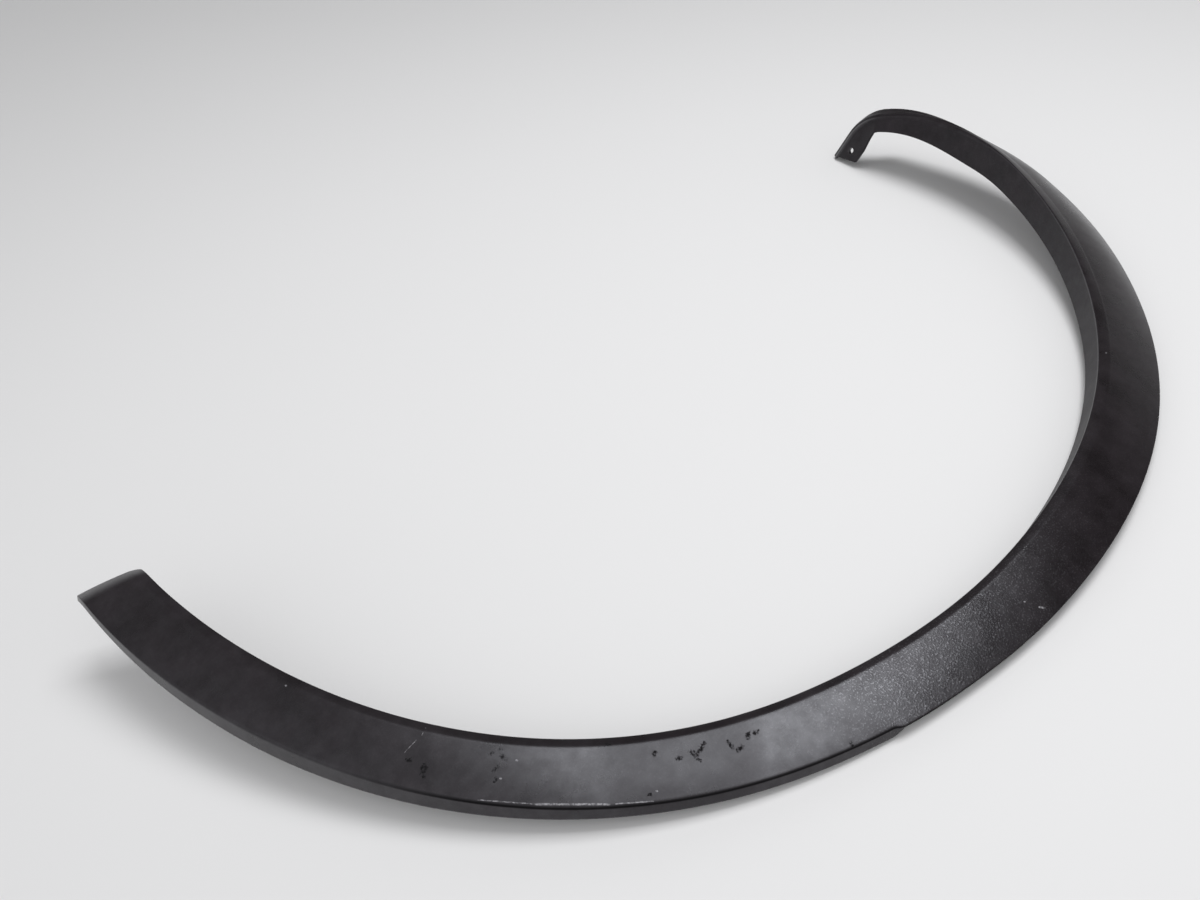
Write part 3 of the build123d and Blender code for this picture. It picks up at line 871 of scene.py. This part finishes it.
class ARCHTRIM_OT_clip_seats(bpy.types.Operator):
    """Sets the clip seats on the hidden back of the face"""
    bl_idname = "archtrim.clip_seats"
    bl_label = "Clip seats"

    def execute(self, context):
        sizes = context.scene.trim_sizes
        shape = ArchShape(sizes)
        mesh = bpy.data.meshes.new("clip_seat_points")
        frames = [shape.seat_frame(a) for a in SEAT_ANGLES]
        mesh.from_pydata([placed(here) for here, turn in frames], [], [])
        turns = mesh.attributes.new("turn", "FLOAT_VECTOR", "POINT")
        for item, (here, turn) in zip(turns.data, frames):
            item.vector = (REST_TURN @ turn).to_euler("XYZ")
        seats = bpy.data.objects.new("clip_seats", mesh)
        context.collection.objects.link(seats)
        tree = seat_row_tree()
        mod = seats.modifiers.new("Clip seat row", "NODES")
        mod.node_group = tree
        values = {
            "Length": sizes.seat_length,
            "Width": sizes.seat_width,
            "Top": sizes.skin - SEAT_SINK * MM + sizes.seat_height,
            "Plate": SEAT_PLATE * MM,
            "Channel": sizes.seat_height - (SEAT_PLATE + SEAT_WEB) * MM,
            "Slot": sizes.seat_slot,
            "Material": plastic(context),
        }
        for item in tree.interface.items_tree:
            if item.in_out == "INPUT" and item.name in values:
                mod[item.identifier] = values[item.name]
        whole = baked(seats, "clip_seats_row")
        seats.modifiers.clear()
        seats.data = whole
        bpy.data.meshes.remove(mesh)
        if len(whole.polygons) < 20 * len(SEAT_ANGLES):
            raise RuntimeError("the clip seats are missing")
        finished(seats)
        return {"FINISHED"}


# Half a side of the table, how rough it is, and how far off it starts and stops darkening, in metres; the
# darkening is painted shade for the light falling off
TABLE_HALF, TABLE_ROUGHNESS, TABLE_NEAR, TABLE_FAR = 6.0, 0.7, 0.5, 1.6
# The lamp overhead: where it hangs, what it faces, and the way that its long side lies
LAMP_PLACE, LAMP_AIM = Vector((-0.29, 0.11, 1.52)), Vector((0.15, 0.12, 0.0))
LAMP_ALONG = Vector((-0.86, 0.5, 0.0))
# Parts of the room: a direction, and how near to it, as a cosine, the part starts and is full
FRONT_OF_ROOM = ((0.6, 0.65, 0.45), 0.0, 0.92)
DARK_CORNER = ((-0.71, 0.10, 0.70), 0.86, 0.98)
# Low lights beyond the two ends of the trim, given in the same way, each with its share of the side light
END_LIGHTS = (((0.0, -1.0, 0.1), 0.78, 0.97, 1.0), ((-0.97, -0.15, 0.05), 0.84, 0.99, 0.35))
# The camera: lens and sensor in mm, where it clips and stands in metres, and its turn in degrees
CAMERA_LENS, CAMERA_SENSOR, CAMERA_CLIP = 32.694, 36.0, 0.01
CAMERA_PLACE, CAMERA_TURN = (0.42205, 0.34770, 0.44928), (50.381, 6.234, 135.885)


class ARCHTRIM_OT_stage(bpy.types.Operator):
    """Lays the table, hangs the lamp and sets the camera"""
    bl_idname = "archtrim.stage"
    bl_label = "Stage"

    def execute(self, context):
        scene = context.scene
        stage = scene.trim_stage
        mesh = bpy.data.meshes.new("table_top")
        signs = ((-1, -1), (1, -1), (1, 1), (-1, 1))
        mesh.from_pydata([(x * TABLE_HALF, y * TABLE_HALF, 0.0) for x, y in signs], [], [(0, 1, 2, 3)])
        table = bpy.data.objects.new("table_top", mesh)
        context.collection.objects.link(table)
        mat = bpy.data.materials.new("Matt white laminate")
        mat.use_nodes = True
        tree = mat.node_tree
        shader = tree.nodes["Principled BSDF"]
        shader.inputs["Roughness"].default_value = TABLE_ROUGHNESS
        place = add_node(tree, "ShaderNodeTexCoord").outputs["Object"]
        away = add_node(tree, "ShaderNodeVectorMath", {"operation": "LENGTH"}, i0=place).outputs["Value"]
        # painted shade: the table's colour darkens with distance from the trim, as the light falls off
        share = add_node(tree, "ShaderNodeMapRange", Value=away, From_Min=TABLE_NEAR, From_Max=TABLE_FAR)
        tone = add_node(
            tree, "ShaderNodeMix", {"data_type": "RGBA"},
            i0=share, i6=(*stage.table, 1.0), i7=(*stage.table_far_shaded, 1.0),
        )
        tree.links.new(tone.outputs[2], shader.inputs["Base Color"])
        mesh.materials.append(mat)

        light = bpy.data.lights.new("lamp_overhead", "AREA")
        light.shape = "RECTANGLE"
        light.size, light.size_y = stage.lamp_length, stage.lamp_width
        light.energy = math.pi * stage.lamp_length * stage.lamp_width * stage.lamp_radiance
        lamp = bpy.data.objects.new("lamp_overhead", light)
        context.collection.objects.link(lamp)
        away = (LAMP_PLACE - LAMP_AIM).normalized()
        over = away.cross(LAMP_ALONG).normalized()
        turn = Matrix((over.cross(away), over, away)).transposed()
        lamp.matrix_world = Matrix.Translation(LAMP_PLACE) @ turn.to_4x4()

        world = bpy.data.worlds.new("pale_room")
        world.use_nodes = True
        tree = world.node_tree
        way = add_node(tree, "ShaderNodeTexCoord").outputs["Generated"]

        def toward(direction, low, high, to_low, to_high):
            """A level that changes with how near a direction of the room is."""
            aim = Vector(direction).normalized()
            near = add_node(tree, "ShaderNodeVectorMath", {"operation": "DOT_PRODUCT"}, i0=way, i1=aim)
            return add_node(
                tree, "ShaderNodeMapRange", {"interpolation_type": "SMOOTHSTEP"},
                Value=near.outputs["Value"], From_Min=low, From_Max=high, To_Min=to_low, To_Max=to_high,
            ).outputs["Result"]

        front = toward(*FRONT_OF_ROOM, stage.room_light, stage.room_front)
        corner = toward(*DARK_CORNER, 1.0, stage.room_dark)
        level = add_node(tree, "ShaderNodeMath", {"operation": "MULTIPLY"}, i0=front, i1=corner)
        for *place, share in END_LIGHTS:
            side = toward(*place, 0.0, share * stage.room_side)
            level = add_node(tree, "ShaderNodeMath", {"operation": "ADD"}, i0=level, i1=side)
        # seen past the table, the room is one plain pale tone
        seen = add_node(tree, "ShaderNodeLightPath").outputs["Is Camera Ray"]
        plain = stage.room_seen
        level = add_node(tree, "ShaderNodeMix", {"data_type": "FLOAT"}, i0=seen, i2=level, i3=plain)
        back = tree.nodes["Background"]
        back.inputs["Color"].default_value = (1.0, 1.0, 1.0, 1.0)
        tree.links.new(level.outputs[0], back.inputs["Strength"])
        scene.world = world

        lens = bpy.data.cameras.new("camera")
        lens.sensor_fit = "HORIZONTAL"
        lens.sensor_width = CAMERA_SENSOR
        lens.lens = CAMERA_LENS
        lens.clip_start = CAMERA_CLIP
        camera = bpy.data.objects.new("camera", lens)
        context.collection.objects.link(camera)
        camera.location = CAMERA_PLACE
        camera.rotation_euler = Euler([math.radians(a) for a in CAMERA_TURN], "XYZ")
        scene.camera = camera
        scene.view_settings.view_transform = "Standard"
        return {"FINISHED"}


class ARCHTRIM_PT_panel(bpy.types.Panel):
    """Sizes, finish and stage of the trim"""
    bl_idname = "ARCHTRIM_PT_panel"
    bl_label = "Wheel Arch Trim"
    bl_space_type = "VIEW_3D"
    bl_region_type = "UI"
    bl_category = "Arch Trim"

    def draw(self, context):
        scene = context.scene
        for group in (scene.trim_sizes, scene.trim_finish, scene.trim_stage):
            box = self.layout.box()
            for name in group.__annotations__:
                box.prop(group, name)
        for operator in OPERATORS:
            self.layout.operator(operator.bl_idname)


GROUPS = {"trim_sizes": TrimSizes, "trim_finish": TrimFinish, "trim_stage": TrimStage}
OPERATORS = (ARCHTRIM_OT_moulding, ARCHTRIM_OT_clip_seats, ARCHTRIM_OT_stage)


def register():
    for cls in (*GROUPS.values(), *OPERATORS, ARCHTRIM_PT_panel):
        bpy.utils.register_class(cls)
    for name, cls in GROUPS.items():
        setattr(bpy.types.Scene, name, PointerProperty(type=cls))


def unregister():
    for name in GROUPS:
        delattr(bpy.types.Scene, name)
    for cls in (ARCHTRIM_PT_panel, *reversed(OPERATORS), *reversed(GROUPS.values())):
        bpy.utils.unregister_class(cls)


def main():
    register()
    bpy.ops.archtrim.moulding()
    bpy.ops.archtrim.clip_seats()
    bpy.ops.archtrim.stage()


if __name__ == "__main__":
    main()
